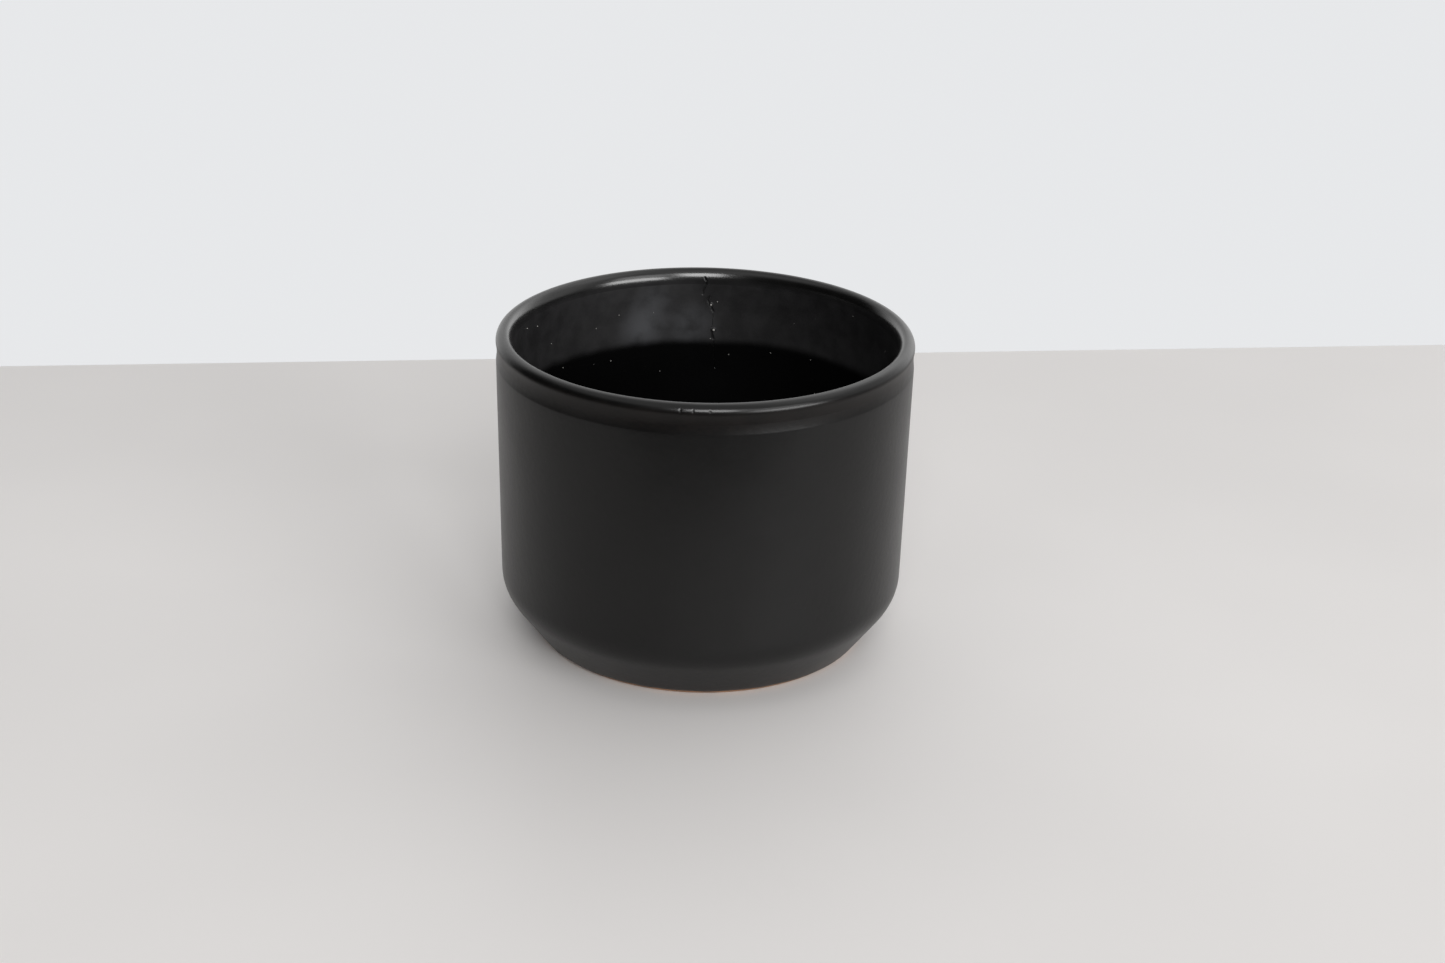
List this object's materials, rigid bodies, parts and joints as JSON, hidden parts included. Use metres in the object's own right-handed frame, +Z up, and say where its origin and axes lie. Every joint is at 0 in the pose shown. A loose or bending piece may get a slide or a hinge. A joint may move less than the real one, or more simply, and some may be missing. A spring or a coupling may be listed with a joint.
{
  "type": "ceramic candle jar",
  "caption": "Low, round ceramic candle vessel with a rounded lip, a shallow neck under it, a chamfered shoulder and a wiped foot ring, in black glaze.",
  "frame": {"origin": "centre of the foot ring, on the surface that the jar stands on", "axes": "+Z up through the middle of the mouth; the jar is round, and +X and +Y are any two directions at right angles to it"},
  "size_m": [0.1024, 0.1024, 0.0788],
  "materials": {
    "fired_clay": "bare fired stoneware, dry and slightly gritty",
    "matte_glaze": "satin matte black glaze with a faint orange peel",
    "rim_glaze": "smoother, glossier black glaze that breaks brown where it is thin",
    "liner_glaze": "satin black liner glaze, pitted, darker and glossier below the old fill line",
    "foot_glaze": "satin black glaze"
  },
  "bodies": {
    "root": {"clay_body": "fired_clay", "outer_glaze": "matte_glaze", "rim_glaze": "rim_glaze", "inner_glaze": "liner_glaze", "underside_glaze": "foot_glaze"}
  },
  "joints": []
}
